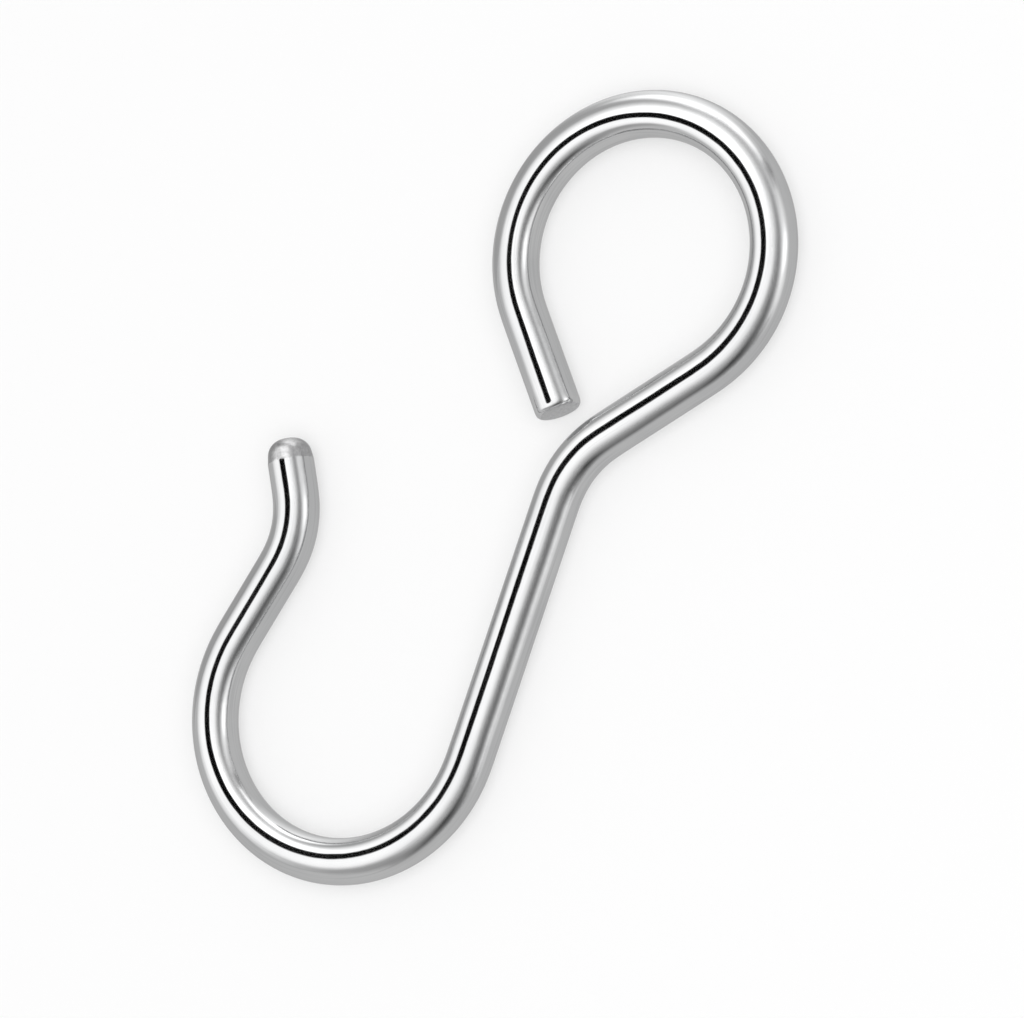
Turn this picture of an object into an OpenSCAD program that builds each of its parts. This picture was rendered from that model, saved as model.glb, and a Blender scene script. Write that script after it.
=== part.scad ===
// Seat cover hook: one length of round plated steel wire, bent in one plane.
// An open hook with an out-turned lip at one end, a straight shank, and a
// nearly closed round eye at the other. It lies flat on its side: the bends
// are in the XY plane, the shank runs along +Y, and the underside is at Z = 0.

/* [Wire] */
// Diameter of the round wire
wire_d = 2.5; // [2.0:0.05:2.8]
// Edge rounding of the lip's end, tumbled nearly to a dome
tip_round = 0.9; // [0.1:0.05:0.95]
// Edge rounding of the eye tail's sheared end
tail_round = 0.25; // [0.05:0.05:0.9]

/* [Hook] */
// Straight length of the lip, from its end to the first bend
tip_run = 2.9; // [1.5:0.05:6]
// Centreline radius of the bend that turns the lip outward
lip_bend_r = 5.3; // [3:0.05:8]
// Angle of the bend that turns the lip outward
lip_bend_a = 44.3; // [20:0.1:60]
// Straight length between the lip bend and the hook bend
arm_run = 4.45; // [1:0.05:7]
// Centreline radius of the hook bend
hook_bend_r = 7.8; // [6:0.05:10]
// Angle of the hook bend
hook_bend_a = 194.1; // [182:0.1:205]

/* [Shank] */
// Straight length of the shank, between the hook bend and the neck bend
shank_run = 14.35; // [8:0.05:25]
// Centreline radius of the neck bend
neck_bend_r = 6.0; // [3:0.05:9]
// Angle of the neck bend
neck_bend_a = 41.4; // [36:0.1:46]

/* [Eye] */
// Straight length between the neck bend and the eye bend
eye_lead_run = 6.35; // [6:0.05:9]
// Centreline radius of the eye bend
eye_bend_r = 7.35; // [6.8:0.05:8.5]
// Angle of the eye bend
eye_bend_a = 262.9; // [225:0.1:264]
// Straight length of the eye's free tail
tail_run = 5.8; // [1.5:0.05:6.2]

/* [Hidden] */
$fn = 96;
wire_r = wire_d / 2;
LEFT = 1;
RIGHT = -1;
TRIM_A = 3; // degrees that a bend is swept long before it is trimmed

// The two halves of the bend order, each read outwards from an end of the
// shank. A run is ["run", length], a bend is ["bend", radius, angle, side],
// and the last entry is ["end", length, edge rounding].
EYE_HALF = [
    ["run", shank_run],
    ["bend", neck_bend_r, neck_bend_a, RIGHT],
    ["run", eye_lead_run],
    ["bend", eye_bend_r, eye_bend_a, LEFT],
    ["end", tail_run, tail_round]
];
HOOK_HALF = [
    ["bend", hook_bend_r, hook_bend_a, RIGHT],
    ["run", arm_run],
    ["bend", lip_bend_r, lip_bend_a, LEFT],
    ["end", tip_run, tip_round]
];

// The outline seen from above, as discs [x, y, radius] along a half's wire
// from point p at heading h, one for each degree of bend. They serve only to
// centre the part on its own outline.
function toward(h) = [cos(h), sin(h)];
function disc(p, r) = [p.x, p.y, r];
function bend_centre(p, h, r, side) = p + side * r * toward(h + 90);
function bend_point(c, h, r, side) = c - side * r * toward(h + 90);
function end_discs(p, h, length, edge_r) =
    let (q = p + (length - edge_r) * toward(h), n = (wire_r - edge_r) * toward(h + 90))
    [disc(p, wire_r), disc(q + n, edge_r), disc(q - n, edge_r)];
function outline(ops, p, h, i = 0) =
    ops[i][0] == "end" ? end_discs(p, h, ops[i][1], ops[i][2]) :
    ops[i][0] == "run" ? concat([disc(p, wire_r)], outline(ops, p + ops[i][1] * toward(h), h, i + 1)) :
    let (r = ops[i][1], a = ops[i][2], side = ops[i][3], c = bend_centre(p, h, r, side))
    concat([for (k = [0 : a]) disc(bend_point(c, h + side * k, r, side), wire_r)],
           outline(ops, bend_point(c, h + side * a, r, side), h + side * a, i + 1));

OUTLINE = concat(outline(EYE_HALF, [0, 0], 90), outline(HOOK_HALF, [0, 0], -90));
X_MID = (max([for (q = OUTLINE) q.x + q.z]) + min([for (q = OUTLINE) q.x - q.z])) / 2;
Y_MID = (max([for (q = OUTLINE) q.y + q.z]) + min([for (q = OUTLINE) q.y - q.z])) / 2;

// A straight run of wire along +Y, with its seam on top.
module straight(length) {
    rotate([-90, 0, 0]) rotate([0, 0, -90]) cylinder(r = wire_r, h = length);
}

// The last run of wire along +Y, with its end's edge rounded.
module rounded_end(length, edge_r) {
    rotate([-90, 0, 0]) rotate([0, 0, -90]) rotate_extrude() {
        square([wire_r, length - edge_r]);
        translate([0, length - edge_r]) square([wire_r - edge_r, edge_r]);
        translate([wire_r - edge_r, length - edge_r]) intersection() {
            circle(r = edge_r);
            square([edge_r, edge_r]);
        }
    }
}

// Carries what follows a bend to the frame at the bend's far end.
module after_bend(r, a, side) {
    translate([-side * r, 0, 0]) rotate([0, 0, side * a]) translate([side * r, 0, 0]) children();
}

// One bend of the wire, starting along +Y and turning to the left or right.
// It is swept a little long, then trimmed square where the next run starts,
// so that the two share that round face exactly.
module bend(r, a, side) {
    difference() {
        translate([-side * r, 0, 0])
            rotate_extrude(angle = a + TRIM_A, start = side == LEFT ? 0 : 180 - a - TRIM_A)
                translate([r, 0]) rotate([0, 0, 90]) circle(r = wire_r);
        after_bend(r, a, side)
            translate([-2 * wire_r, 0, -2 * wire_r]) cube([4 * wire_r, 2 * wire_r, 4 * wire_r]);
    }
}

// Each entry is drawn in the frame that the one before it ends in, so the
// round faces of neighbours meet exactly.
module bent_wire(ops, i = 0) {
    if (i < len(ops)) {
        if (ops[i][0] == "run") {
            straight(ops[i][1]);
            translate([0, ops[i][1], 0]) bent_wire(ops, i + 1);
        } else if (ops[i][0] == "bend") {
            bend(ops[i][1], ops[i][2], ops[i][3]);
            after_bend(ops[i][1], ops[i][2], ops[i][3]) bent_wire(ops, i + 1);
        } else {
            rounded_end(ops[i][1], ops[i][2]);
        }
    }
}

module hook_wire() {
    color([0.76, 0.77, 0.78])
        translate([-X_MID, -Y_MID, wire_r]) {
            bent_wire(EYE_HALF);
            rotate([0, 0, 180]) bent_wire(HOOK_HALF);
        }
}

hook_wire();
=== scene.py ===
import math

import bmesh
import bpy
from mathutils import Matrix, Vector


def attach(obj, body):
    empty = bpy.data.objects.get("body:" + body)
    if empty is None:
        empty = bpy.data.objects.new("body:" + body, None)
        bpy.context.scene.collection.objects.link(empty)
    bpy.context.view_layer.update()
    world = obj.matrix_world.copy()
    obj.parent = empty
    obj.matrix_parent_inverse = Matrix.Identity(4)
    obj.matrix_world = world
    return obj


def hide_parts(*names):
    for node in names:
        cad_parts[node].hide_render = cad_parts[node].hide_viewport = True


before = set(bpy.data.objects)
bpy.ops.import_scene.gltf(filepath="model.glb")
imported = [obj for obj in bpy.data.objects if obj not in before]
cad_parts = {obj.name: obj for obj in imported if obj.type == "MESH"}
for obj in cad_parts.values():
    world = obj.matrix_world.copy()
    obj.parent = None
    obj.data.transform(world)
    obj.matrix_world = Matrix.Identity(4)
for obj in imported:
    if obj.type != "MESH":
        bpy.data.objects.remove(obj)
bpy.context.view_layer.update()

MM = 0.001

# ---------------------------------------------------------------- wire form
# The same bend table as the CAD source, in millimetres and degrees.
WIRE_R = 1.25
TIP_ROUND = 0.9
TAIL_ARCS = [(0.8, 0, 14), (0.3, 14, 90)]  # drawn in a little by the cutter, then the cut's edge
CAP_LONG = 1.25    # length of the lip's tumbled end, which starts with a slight crease
CAP_TAPER = 9.0    # degrees
LEFT, RIGHT = 1, -1
EYE_HALF = [
    ("run", 14.35),
    ("bend", 6.0, 41.4, RIGHT),
    ("run", 6.35),
    ("bend", 7.35, 262.9, LEFT),
    ("run", 5.8),
]
HOOK_HALF = [
    ("bend", 7.8, 194.1, RIGHT),
    ("run", 4.45),
    ("bend", 5.3, 44.3, LEFT),
    ("run", 2.9),
]
# Guessed from where one reflection runs, so fitted and not measured. Rolling
# the wire round a pin may push its section: the thickest part moves
# towards the inside of the hook and the eye. Pairs of the distance from the
# lip's end, in mm, and the lean: 0 is round.
LEAN = [
    (0, 0.01), (6, 0.08), (11, 0.11), (17, 0.09), (25, 0.16), (33, 0.07), (41, 0.025), (48, 0.045),
    (55, 0.04), (61, 0.0), (67, 0.03), (73, 0.10), (80, 0.215), (87, 0.15), (93, 0.17), (102.4, 0.06),
]
SHANK_FOOT = Vector((4.131974, -13.745770))  # where the shank starts, seen from above

AROUND = 96        # points around the wire
STEP = 0.15        # mm between rings
EASE = 0.42        # mm over which a real bend runs into its straights
SKIN = 0.004       # mm left free inside the CAD solid's skin


def heading(h):
    return Vector((math.cos(math.radians(h)), math.sin(math.radians(h))))


def walk(ops, p, h, spacing):
    """Stations (point, heading) along the wire's centre from p, spacing apart."""
    out, left = [], 0.0
    for op in ops:
        if op[0] == "run":
            while left <= op[1]:
                out.append((p + heading(h) * left, h))
                left += spacing
            p, left = p + heading(h) * op[1], left - op[1]
        else:
            r, turn, side = op[1:]
            c = p + heading(h + 90) * r * side
            length = math.radians(turn) * r
            while left <= length:
                k = h + side * turn * left / length
                out.append((c - heading(k + 90) * r * side, k))
                left += spacing
            h, left = h + side * turn, left - length
            p = c - heading(h + 90) * r * side
    return out, p, h


def lean(s):
    """The section's lean at a distance from the lip's end: a smooth curve through LEAN."""
    s = min(max(s, LEAN[0][0]), LEAN[-1][0])
    i = max(k for k in range(len(LEAN) - 1) if LEAN[k][0] <= s)
    (x0, y0), (x1, y1) = LEAN[i], LEAN[i + 1]
    t, long = (s - x0) / (x1 - x0), x1 - x0
    m0 = (y1 - LEAN[i - 1][1]) / (x1 - LEAN[i - 1][0]) if i > 0 else 0.0
    m1 = (LEAN[i + 2][1] - y0) / (LEAN[i + 2][0] - x0) if i + 2 < len(LEAN) else 0.0
    return (
        (2 * t**3 - 3 * t**2 + 1) * y0 + (t**3 - 2 * t**2 + t) * long * m0
        + (3 * t**2 - 2 * t**3) * y1 + (t**3 - t**2) * long * m1
    )


def whole_wire():
    """Stations (point, heading, distance) from the lip's end to the eye tail's end."""
    full = [sum(math.radians(op[2]) * op[1] if op[0] == "bend" else op[1] for op in half) for half in (HOOK_HALF, EYE_HALF)]
    spacing = [length / round(length / STEP) for length in full]
    hook, lip, lip_h = walk(HOOK_HALF, SHANK_FOOT, -90.0, spacing[0])
    eye, tail, tail_h = walk(EYE_HALF, SHANK_FOOT, 90.0, spacing[1])
    hook = hook[: round(full[0] / spacing[0])] + [(lip, lip_h)]
    eye = eye[: round(full[1] / spacing[1])] + [(tail, tail_h)]
    # Headed from the lip to the tail, the hook half runs backwards.
    line = [(p, h + 180.0) for p, h in reversed(hook)][:-1] + eye
    # Bends ease into their straights: each place is a weighted mean of its neighbours.
    reach = math.ceil(3 * EASE / STEP)
    weight = [math.exp(-0.5 * (i * STEP / EASE) ** 2) for i in range(-reach, reach + 1)]
    whole = sum(weight)

    def place(i):
        if i < 0:
            return line[0][0] + heading(line[0][1]) * (i * STEP)
        if i >= len(line):
            return line[-1][0] + heading(line[-1][1]) * ((i - len(line) + 1) * STEP)
        return line[i][0]

    eased = []
    for i in range(-1, len(line) + 1):
        p = Vector((0.0, 0.0))
        for w, k in zip(weight, range(i - reach, i + reach + 1)):
            p += place(k) * (w / whole)
        eased.append(p)
    out, gone = [], 0.0
    for i in range(1, len(eased) - 1):
        d = eased[i + 1] - eased[i - 1]
        out.append((eased[i], math.degrees(math.atan2(d.y, d.x)), gone))
        gone += (eased[i + 1] - eased[i]).length
    return out


def turned_end(full, arcs, face_steps):
    """(distance back from the end face, radius) from the wire's side in to near the middle of its face, and the end's length.
    Each arc is (radius, first angle, last angle), 0 along the wire and 90 across it."""
    z, r, rings = 0.0, full, []
    for radius, first, last in arcs:
        steps = math.ceil((last - first) / 6)
        a0 = math.radians(first)
        arc = []
        for i in range(1, steps + 1):
            a = math.radians(first + (last - first) * i / steps)
            arc.append((z + radius * (math.sin(a) - math.sin(a0)), r - radius * (math.cos(a0) - math.cos(a))))
        rings += arc
        z, r = arc[-1]
    rings += [(z, r * (1 - i / face_steps)) for i in range(1, face_steps)]
    return [(z - along, round_r) for along, round_r in rings], z


def build_wire():
    """One closed mesh: rings of points swept along the wire, closed at both ends by their rounded faces."""
    line = whole_wire()
    total = line[-1][2]
    lip, tail = line[0], line[-1]
    r_full = WIRE_R - SKIN
    rings = []  # (centre, heading, distance along, radius, cut weight)
    # The lip's end, from the middle of its face outwards, then its slightly tapered cap and the crease.
    taper = math.tan(math.radians(CAP_TAPER))
    starts = TIP_ROUND * (1 - math.sin(math.radians(CAP_TAPER)))
    neck = r_full - (CAP_LONG - starts) * taper
    tip, _ = turned_end(neck, [(TIP_ROUND, CAP_TAPER, 90)], 6)
    for back, r in reversed(tip):
        rings.append((lip[0] + heading(lip[1]) * back, lip[1], back, r, 0))
    for i in range(5):
        s = starts + (CAP_LONG - starts) * i / 4
        rings.append((lip[0] + heading(lip[1]) * s, lip[1], s, neck + (s - starts) * taper, 0))
    s = CAP_LONG + 0.02
    rings.append((lip[0] + heading(lip[1]) * s, lip[1], s, r_full, 0))
    end, end_long = turned_end(r_full, TAIL_ARCS, 9)
    for p, h, s in line:
        if CAP_LONG + 0.08 < s < total - end_long - 0.04:
            rings.append((p, h, s, r_full, 0))
    rings.append((tail[0] - heading(tail[1]) * end_long, tail[1], total - end_long, r_full, 0))
    for back, r in end:
        rings.append((tail[0] - heading(tail[1]) * back, tail[1], total - back, r, 1 if back < 0.05 else 0))

    mesh = bpy.data.meshes.new("hook_body")
    bm = bmesh.new()
    drawn = bm.verts.layers.float_vector.new("drawn_mm")   # the point on the straight wire, before bending
    sheared = bm.verts.layers.float.new("sheared")          # 1 on the tail's cut face

    def put(c, h, s, r, cut, k):
        a = 2 * math.pi * k / AROUND
        side = heading(h - 90)
        across = r * math.cos(a)
        x = c + side * across
        # Thinner towards the outside of a bend, and no thicker overall than the straight wire.
        e = lean(s)
        z = WIRE_R + r * math.sin(a) * (1 - e * across / WIRE_R) / (1 + 0.52 * e * e)
        v = bm.verts.new((x.x * MM, x.y * MM, z * MM))
        v[drawn] = Vector((across, r * math.sin(a), s))
        v[sheared] = float(cut)
        return v

    loops = [[put(*ring, k) for k in range(AROUND)] for ring in rings]
    for a, b in zip(loops, loops[1:]):
        for k in range(AROUND):
            j = (k + 1) % AROUND
            bm.faces.new((a[k], a[j], b[j], b[k]))
    # The middle of each end face.
    for loop, (c, h, s, r, cut), first in ((loops[0], rings[0], True), (loops[-1], rings[-1], False)):
        m = bm.verts.new((c.x * MM, c.y * MM, WIRE_R * MM))
        m[drawn] = Vector((0, 0, s))
        m[sheared] = float(cut)
        for k in range(AROUND):
            j = (k + 1) % AROUND
            bm.faces.new((m, loop[j], loop[k]) if first else (m, loop[k], loop[j]))
    bmesh.ops.recalc_face_normals(bm, faces=bm.faces)
    for f in bm.faces:
        f.smooth = True
    bm.to_mesh(mesh)
    bm.free()
    obj = bpy.data.objects.new("hook_body", mesh)
    bpy.context.scene.collection.objects.link(obj)
    return obj


# ------------------------------------------------------------ node helpers
class Tree:
    def __init__(self, owner):
        owner.use_nodes = True
        self.t = owner.node_tree
        self.t.nodes.clear()

    def add(self, kind, **values):
        n = self.t.nodes.new(kind)
        for key, value in values.items():
            setattr(n, key, value)
        return n

    def link(self, a, b):
        self.t.links.new(a, b)

    def math(self, op, a, b=None, clamp=False):
        n = self.add("ShaderNodeMath", operation=op, use_clamp=clamp)
        for i, x in enumerate((a, b)):
            if x is None:
                continue
            if isinstance(x, (int, float)):
                n.inputs[i].default_value = x
            else:
                self.link(x, n.inputs[i])
        return n.outputs[0]

    def ramp(self, fac, stops, mode="LINEAR"):
        n = self.add("ShaderNodeValToRGB")
        n.color_ramp.interpolation = mode
        e = n.color_ramp.elements
        while len(e) < len(stops):
            e.new(0.5)
        for item, (pos, v) in zip(e, stops):
            item.position = pos
            item.color = (v, v, v, 1) if isinstance(v, (int, float)) else (*v, 1)
        self.link(fac, n.inputs[0])
        return n.outputs[0]

    def span(self, value, a, b, c, d):
        n = self.add("ShaderNodeMapRange")
        for i, x in enumerate((value, a, b, c, d)):
            if isinstance(x, (int, float)):
                n.inputs[i].default_value = x
            else:
                self.link(x, n.inputs[i])
        return n.outputs[0]


def stretched_noise(t, coord, across, along, detail, rough=0.55, offset=(0, 0, 0)):
    """Noise in the straight wire's own millimetres: features about 1/across wide and 1/along long."""
    m = t.add("ShaderNodeMapping")
    m.inputs["Scale"].default_value = (across, across, along)
    m.inputs["Location"].default_value = offset
    t.link(coord, m.inputs["Vector"])
    n = t.add("ShaderNodeTexNoise")
    n.inputs["Scale"].default_value = 1.0
    n.inputs["Detail"].default_value = detail
    n.inputs["Roughness"].default_value = rough
    t.link(m.outputs[0], n.inputs["Vector"])
    return n.outputs["Fac"]


def plated_steel():
    mat = bpy.data.materials.new("plated_steel")
    t = Tree(mat)
    out = t.add("ShaderNodeOutputMaterial")
    p = t.add("ShaderNodeBsdfPrincipled")
    p.inputs["Metallic"].default_value = 1.0
    t.link(p.outputs[0], out.inputs["Surface"])

    coord = t.add("ShaderNodeAttribute", attribute_name="drawn_mm").outputs["Vector"]
    cut = t.add("ShaderNodeAttribute", attribute_name="sheared").outputs["Fac"]

    # Fine lines left by the drawing die, long ripples in the plating, and its slightly uneven tone.
    lines = stretched_noise(t, coord, 7.0, 0.16, 5.0)
    fine = stretched_noise(t, coord, 22.0, 0.5, 3.0, offset=(3, 1, 7))
    ripple = stretched_noise(t, coord, 0.5, 0.62, 2.0, offset=(11, 5, 2))
    tone = stretched_noise(t, coord, 0.35, 0.22, 3.0, offset=(2, 9, 4))
    grit = stretched_noise(t, coord, 6.0, 6.0, 5.0, rough=0.7, offset=(5, 5, 5))

    # The lip's tumbled end: everything short of its crease, whose line is a little ragged.
    along = t.add("ShaderNodeSeparateXYZ")
    t.link(coord, along.inputs[0])
    ragged = t.math("ADD", along.outputs[2], t.span(grit, 0.3, 0.7, -0.06, 0.06))
    cap = t.span(ragged, CAP_LONG + 0.03, CAP_LONG - 0.03, 0.0, 1.0)

    # Colour: neutral bright plating, a shade deeper in the drawn lines; the two ends are duller.
    mix = t.add("ShaderNodeMix", data_type="RGBA")
    t.link(t.span(tone, 0.35, 0.65, 0.0, 1.0), mix.inputs["Factor"])
    mix.inputs["A"].default_value = (0.585, 0.588, 0.592, 1)
    mix.inputs["B"].default_value = (0.635, 0.636, 0.638, 1)
    shade = t.add("ShaderNodeMix", data_type="RGBA", blend_type="MULTIPLY")
    shade.inputs["Factor"].default_value = 1.0
    t.link(mix.outputs["Result"], shade.inputs["A"])
    t.link(t.ramp(lines, [(0.30, 0.90), (0.50, 1.0), (1.0, 1.0)]), shade.inputs["B"])
    worn = t.add("ShaderNodeMix", data_type="RGBA")
    t.link(t.span(grit, 0.35, 0.65, 0.0, 1.0), worn.inputs["Factor"])
    worn.inputs["A"].default_value = (0.375, 0.375, 0.378, 1)
    worn.inputs["B"].default_value = (0.50, 0.50, 0.503, 1)
    capcol = t.add("ShaderNodeMix", data_type="RGBA")
    t.link(cap, capcol.inputs["Factor"])
    t.link(shade.outputs["Result"], capcol.inputs["A"])
    t.link(worn.outputs["Result"], capcol.inputs["B"])
    dull = t.add("ShaderNodeMix", data_type="RGBA")
    t.link(cut, dull.inputs["Factor"])
    t.link(capcol.outputs["Result"], dull.inputs["A"])
    cutcol = t.add("ShaderNodeMix", data_type="RGBA")
    t.link(t.span(grit, 0.35, 0.65, 0.0, 1.0), cutcol.inputs["Factor"])
    cutcol.inputs["A"].default_value = (0.50, 0.50, 0.505, 1)
    cutcol.inputs["B"].default_value = (0.70, 0.70, 0.705, 1)
    t.link(cutcol.outputs["Result"], dull.inputs["B"])
    t.link(dull.outputs["Result"], p.inputs["Base Color"])
    # Nickel and chrome don't brighten much towards grazing view.
    p.inputs["Specular Tint"].default_value = (0.80, 0.80, 0.80, 1)

    # Roughness: bright plating, a little softer along the drawn lines; rough on the cut end.
    base = t.span(lines, 0.35, 0.70, 0.075, 0.115)
    cut_rough = t.span(grit, 0.3, 0.7, 0.34, 0.52)
    tumbled = t.add("ShaderNodeMix", data_type="FLOAT")
    t.link(cap, tumbled.inputs["Factor"])
    t.link(base, tumbled.inputs["A"])
    tumbled.inputs["B"].default_value = 0.27
    m = t.add("ShaderNodeMix", data_type="FLOAT")
    t.link(cut, m.inputs["Factor"])
    t.link(tumbled.outputs["Result"], m.inputs["A"])
    t.link(cut_rough, m.inputs["B"])
    t.link(m.outputs["Result"], p.inputs["Roughness"])

    # Relief, heights in metres.
    smooth = t.math("SUBTRACT", 1.0, cut)
    h1 = t.math("MULTIPLY", t.math("MULTIPLY", lines, 0.00000035), smooth)
    h2 = t.math("MULTIPLY", t.math("MULTIPLY", ripple, 0.0000150), smooth)
    h3 = t.math("MULTIPLY", t.math("MULTIPLY", fine, 0.00000010), smooth)
    h4 = t.math("MULTIPLY", t.math("MULTIPLY", grit, 0.0000160), cut)
    total = t.math("ADD", t.math("ADD", h1, h2), t.math("ADD", h3, h4))
    bump = t.add("ShaderNodeBump")
    bump.inputs["Strength"].default_value = 1.0
    bump.inputs["Distance"].default_value = 1.0
    t.link(total, bump.inputs["Height"])
    t.link(bump.outputs[0], p.inputs["Normal"])
    return mat


# ---------------------------------------------------------------- the piece
hook = build_wire()
hook.data.materials.append(plated_steel())
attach(hook, "root")
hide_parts("hook_wire")


# ------------------------------------------------------------------- stage
def link(obj):
    bpy.context.scene.collection.objects.link(obj)
    return obj


def rays(obj, camera=False, diffuse=False, glossy=False, shadow=False):
    obj.visible_camera = camera
    obj.visible_diffuse = diffuse
    obj.visible_glossy = glossy
    obj.visible_transmission = False
    obj.visible_volume_scatter = False
    obj.visible_shadow = shadow


def card(name, centre, facing, width, height, turn=0.0):
    """A flat card, in metres, whose front looks along facing; its object coordinates run from -1 to 1."""
    mesh = bpy.data.meshes.new(name)
    mesh.from_pydata([(-1, -1, 0), (1, -1, 0), (1, 1, 0), (-1, 1, 0)], [], [(0, 1, 2, 3)])
    obj = link(bpy.data.objects.new(name, mesh))
    z = Vector(facing).normalized()
    q = z.to_track_quat("Z", "Y")
    obj.matrix_world = (
        Matrix.Translation(Vector(centre)) @ q.to_matrix().to_4x4() @ Matrix.Rotation(turn, 4, "Z")
        @ Matrix.Diagonal((width / 2, height / 2, 1, 1))
    )
    return obj


def soft_card(name, value, hard=0.6, square=False, opacity=1.0):
    """A card of one grey that fades out towards its edge."""
    mat = bpy.data.materials.new(name)
    t = Tree(mat)
    out = t.add("ShaderNodeOutputMaterial")
    e = t.add("ShaderNodeEmission")
    e.inputs["Color"].default_value = (1, 1, 1, 1)
    e.inputs["Strength"].default_value = value
    clear = t.add("ShaderNodeBsdfTransparent")
    mix = t.add("ShaderNodeMixShader")
    co = t.add("ShaderNodeAttribute", attribute_name="card_xy").outputs["Vector"]
    sep = t.add("ShaderNodeSeparateXYZ")
    t.link(co, sep.inputs[0])
    if square:
        x = t.math("ABSOLUTE", sep.outputs[0])
        y = t.math("ABSOLUTE", sep.outputs[1])
        fx = t.span(x, 1.0, hard, 0.0, 1.0)
        fy = t.span(y, 1.0, hard, 0.0, 1.0)
        f = t.math("MULTIPLY", fx, fy)
    else:
        ln = t.add("ShaderNodeVectorMath", operation="LENGTH")
        t.link(co, ln.inputs[0])
        f = t.span(ln.outputs["Value"], 1.0, hard, 0.0, 1.0)
    s = t.math("MULTIPLY", t.math("MULTIPLY", f, f), t.math("SUBTRACT", 3.0, t.math("MULTIPLY", f, 2.0)))
    t.link(t.math("MULTIPLY", s, opacity), mix.inputs[0])
    t.link(clear.outputs[0], mix.inputs[1])
    t.link(e.outputs[0], mix.inputs[2])
    t.link(mix.outputs[0], out.inputs["Surface"])
    return mat


# The floor that the camera sees: pale, plain and matt, with some of its light from below as on a light table.
floor = card("floor", (0, 0, 0), (0, 0, 1), 6.0, 6.0)
fm = bpy.data.materials.new("pale_floor")
ft = Tree(fm)
fo = ft.add("ShaderNodeOutputMaterial")
fp = ft.add("ShaderNodeBsdfDiffuse")
fp.inputs["Color"].default_value = (0.45, 0.45, 0.45, 1)
fe = ft.add("ShaderNodeEmission")
fe.inputs["Color"].default_value = (1, 1, 1, 1)
fe.inputs["Strength"].default_value = 0.475
fa = ft.add("ShaderNodeAddShader")
ft.link(fp.outputs[0], fa.inputs[0])
ft.link(fe.outputs[0], fa.inputs[1])
ft.link(fa.outputs[0], fo.inputs["Surface"])
floor.data.materials.append(fm)
rays(floor, camera=True, diffuse=True, glossy=False, shadow=True)

# The wire itself sees even studio grey all round, below it too.
ROOM = 0.70

# Room tone.
world = bpy.data.worlds.new("studio")
bpy.context.scene.world = world
wt = Tree(world)
wo = wt.add("ShaderNodeOutputWorld")
wb = wt.add("ShaderNodeBackground")
wb.inputs["Color"].default_value = (1, 1, 1, 1)
wb.inputs["Strength"].default_value = ROOM
wt.link(wb.outputs[0], wo.inputs["Surface"])

# The studio around the hook is a few soft-edged cards. Each is placed by the
# direction in which it lies, in degrees from straight up: rightward and
# upward as the camera has them. A later card stands in front of an earlier.
RIGHT_IN = Vector((0.95415, 0.2993, 0))
UP_IN = Vector((-0.2993, 0.95415, 0))
MIDDLE = Vector((0.0, 0.0, 0.00125))


def toward(x, y):
    tilt, turn = math.radians(math.hypot(x, y)), math.atan2(y, x)
    return (
        RIGHT_IN * (math.sin(tilt) * math.cos(turn)) + UP_IN * (math.sin(tilt) * math.sin(turn))
        + Vector((0, 0, math.cos(tilt)))
    ).normalized()


def studio_card(name, x, y, wide, high, value, hard, turn=0.0, disc=False, far=1.0):
    """A card curved round the hook at one distance, wide and high in degrees."""
    n = toward(x, y)
    ref = Vector((0, 0, 1)) if math.hypot(x, y) > 30 else UP_IN
    a = ref.cross(n).normalized()
    b = n.cross(a)
    t = math.radians(turn)
    al = b * math.cos(t) + a * math.sin(t)
    ax = al.cross(n).normalized()
    ay = n.cross(ax)
    w, h = math.tan(math.radians(wide / 2)), math.tan(math.radians(high / 2))
    cells = 24
    places = [(-1 + 2 * i / cells, -1 + 2 * j / cells) for j in range(cells + 1) for i in range(cells + 1)]
    mesh = bpy.data.meshes.new(name)
    mesh.from_pydata(
        [MIDDLE + (n + ax * (w * i) + ay * (h * j)).normalized() * far for i, j in places],
        [],
        [
            (k, k + 1, k + cells + 2, k + cells + 1)
            for j in range(cells) for k in range(j * (cells + 1), j * (cells + 1) + cells)
        ],
    )
    own = mesh.attributes.new("card_xy", "FLOAT_VECTOR", "POINT")
    own.data.foreach_set("vector", [c for i, j in places for c in (i, j, 0.0)])
    obj = link(bpy.data.objects.new(name, mesh))
    obj.data.materials.append(soft_card(name, value, hard=hard, square=not disc))
    rays(obj, glossy=True)
    return obj


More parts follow.
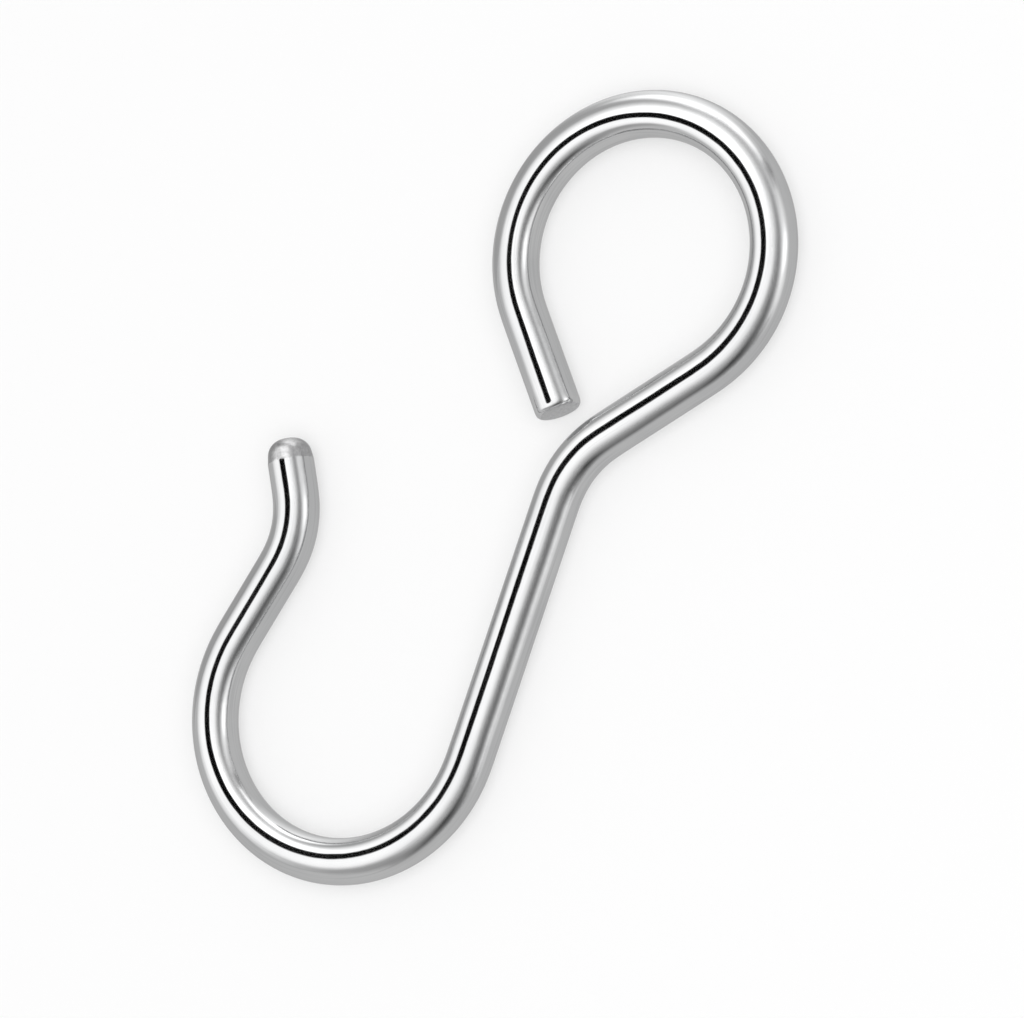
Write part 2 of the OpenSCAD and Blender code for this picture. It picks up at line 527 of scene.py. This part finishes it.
studio_card("side_flag", -63, 52.5, 90, 58, 0.54, 0.8, turn=59, far=1.70)
studio_card("back_wall", -7, 94, 72, 136.5, 1.6, -0.13, turn=-38, far=1.63)
studio_card("back_lamp", 0, 81, 84, 32, 2.0, 0.3, turn=20, disc=True, far=1.59)
studio_card("back_flag", 48, 55, 20, 50, 0.37, 0.15, turn=-7, disc=True, far=1.56)
studio_card("right_lamp", 60, 18.5, 68, 134, 1.95, -0.5, turn=63.5, disc=True, far=1.42)
studio_card("lamp_middle", 72.5, 10.5, 37, 35, 2.15, 0.0, disc=True, far=1.38)
studio_card("overhead_softbox", -20.7, 5, 131, 121, 1.57, 0.27, turn=-39, disc=True, far=1.28)
studio_card("softbox_middle", -12, 30, 58, 60, 2.35, 0.1, disc=True, far=1.24)
studio_card("near_flag", 12, -65.4, 131, 43, 0.47, 0.12, turn=16, far=1.21)
studio_card("front_flag", 37.8, -53.8, 100.5, 52, 0.0, -0.13, turn=-24, far=1.14)
studio_card("corner_flag", 47.7, 8, 150, 59.5, 0.12, -0.5, turn=-8, disc=True, far=1.07)
studio_card("lens_opening", -22, 6.2, 33.6, 33.6, 0.0, 0.68, disc=True, far=1.0)

# Soft overhead light for the floor.
lamp = bpy.data.lights.new("overhead", "AREA")
lamp.shape = "DISK"
lamp.size = 1.1
lamp.energy = 5.4
overhead = link(bpy.data.objects.new("overhead", lamp))
overhead.location = (0.35, 0.02, 0.85)
overhead.rotation_euler = Vector((0.35, 0.02, 0.85)).to_track_quat("Z", "Y").to_euler()
overhead.visible_glossy = False

# ------------------------------------------------------------------ camera
cam_data = bpy.data.cameras.new("camera")
cam_data.sensor_width = 36.0
cam_data.sensor_fit = "HORIZONTAL"
cam_data.lens = 36.0 * 5000.0 / 1024.0
cam_data.clip_start = 0.01
cam_data.clip_end = 20.0
cam = link(bpy.data.objects.new("camera", cam_data))
right = Vector((0.8467, 0.3178, -0.4270)).normalized()
back = Vector((0.4413, 0.0286, 0.8970)).normalized()
up = back.cross(right).normalized()
right = up.cross(back).normalized()
aim = Vector((1.828, -0.606, 1.25)) * MM
cam.matrix_world = Matrix.Translation(aim + back * 0.26107) @ Matrix((right, up, back)).transposed().to_4x4()
bpy.context.scene.camera = cam

bpy.context.scene.view_settings.view_transform = "Standard"
bpy.context.scene.view_settings.look = "None"
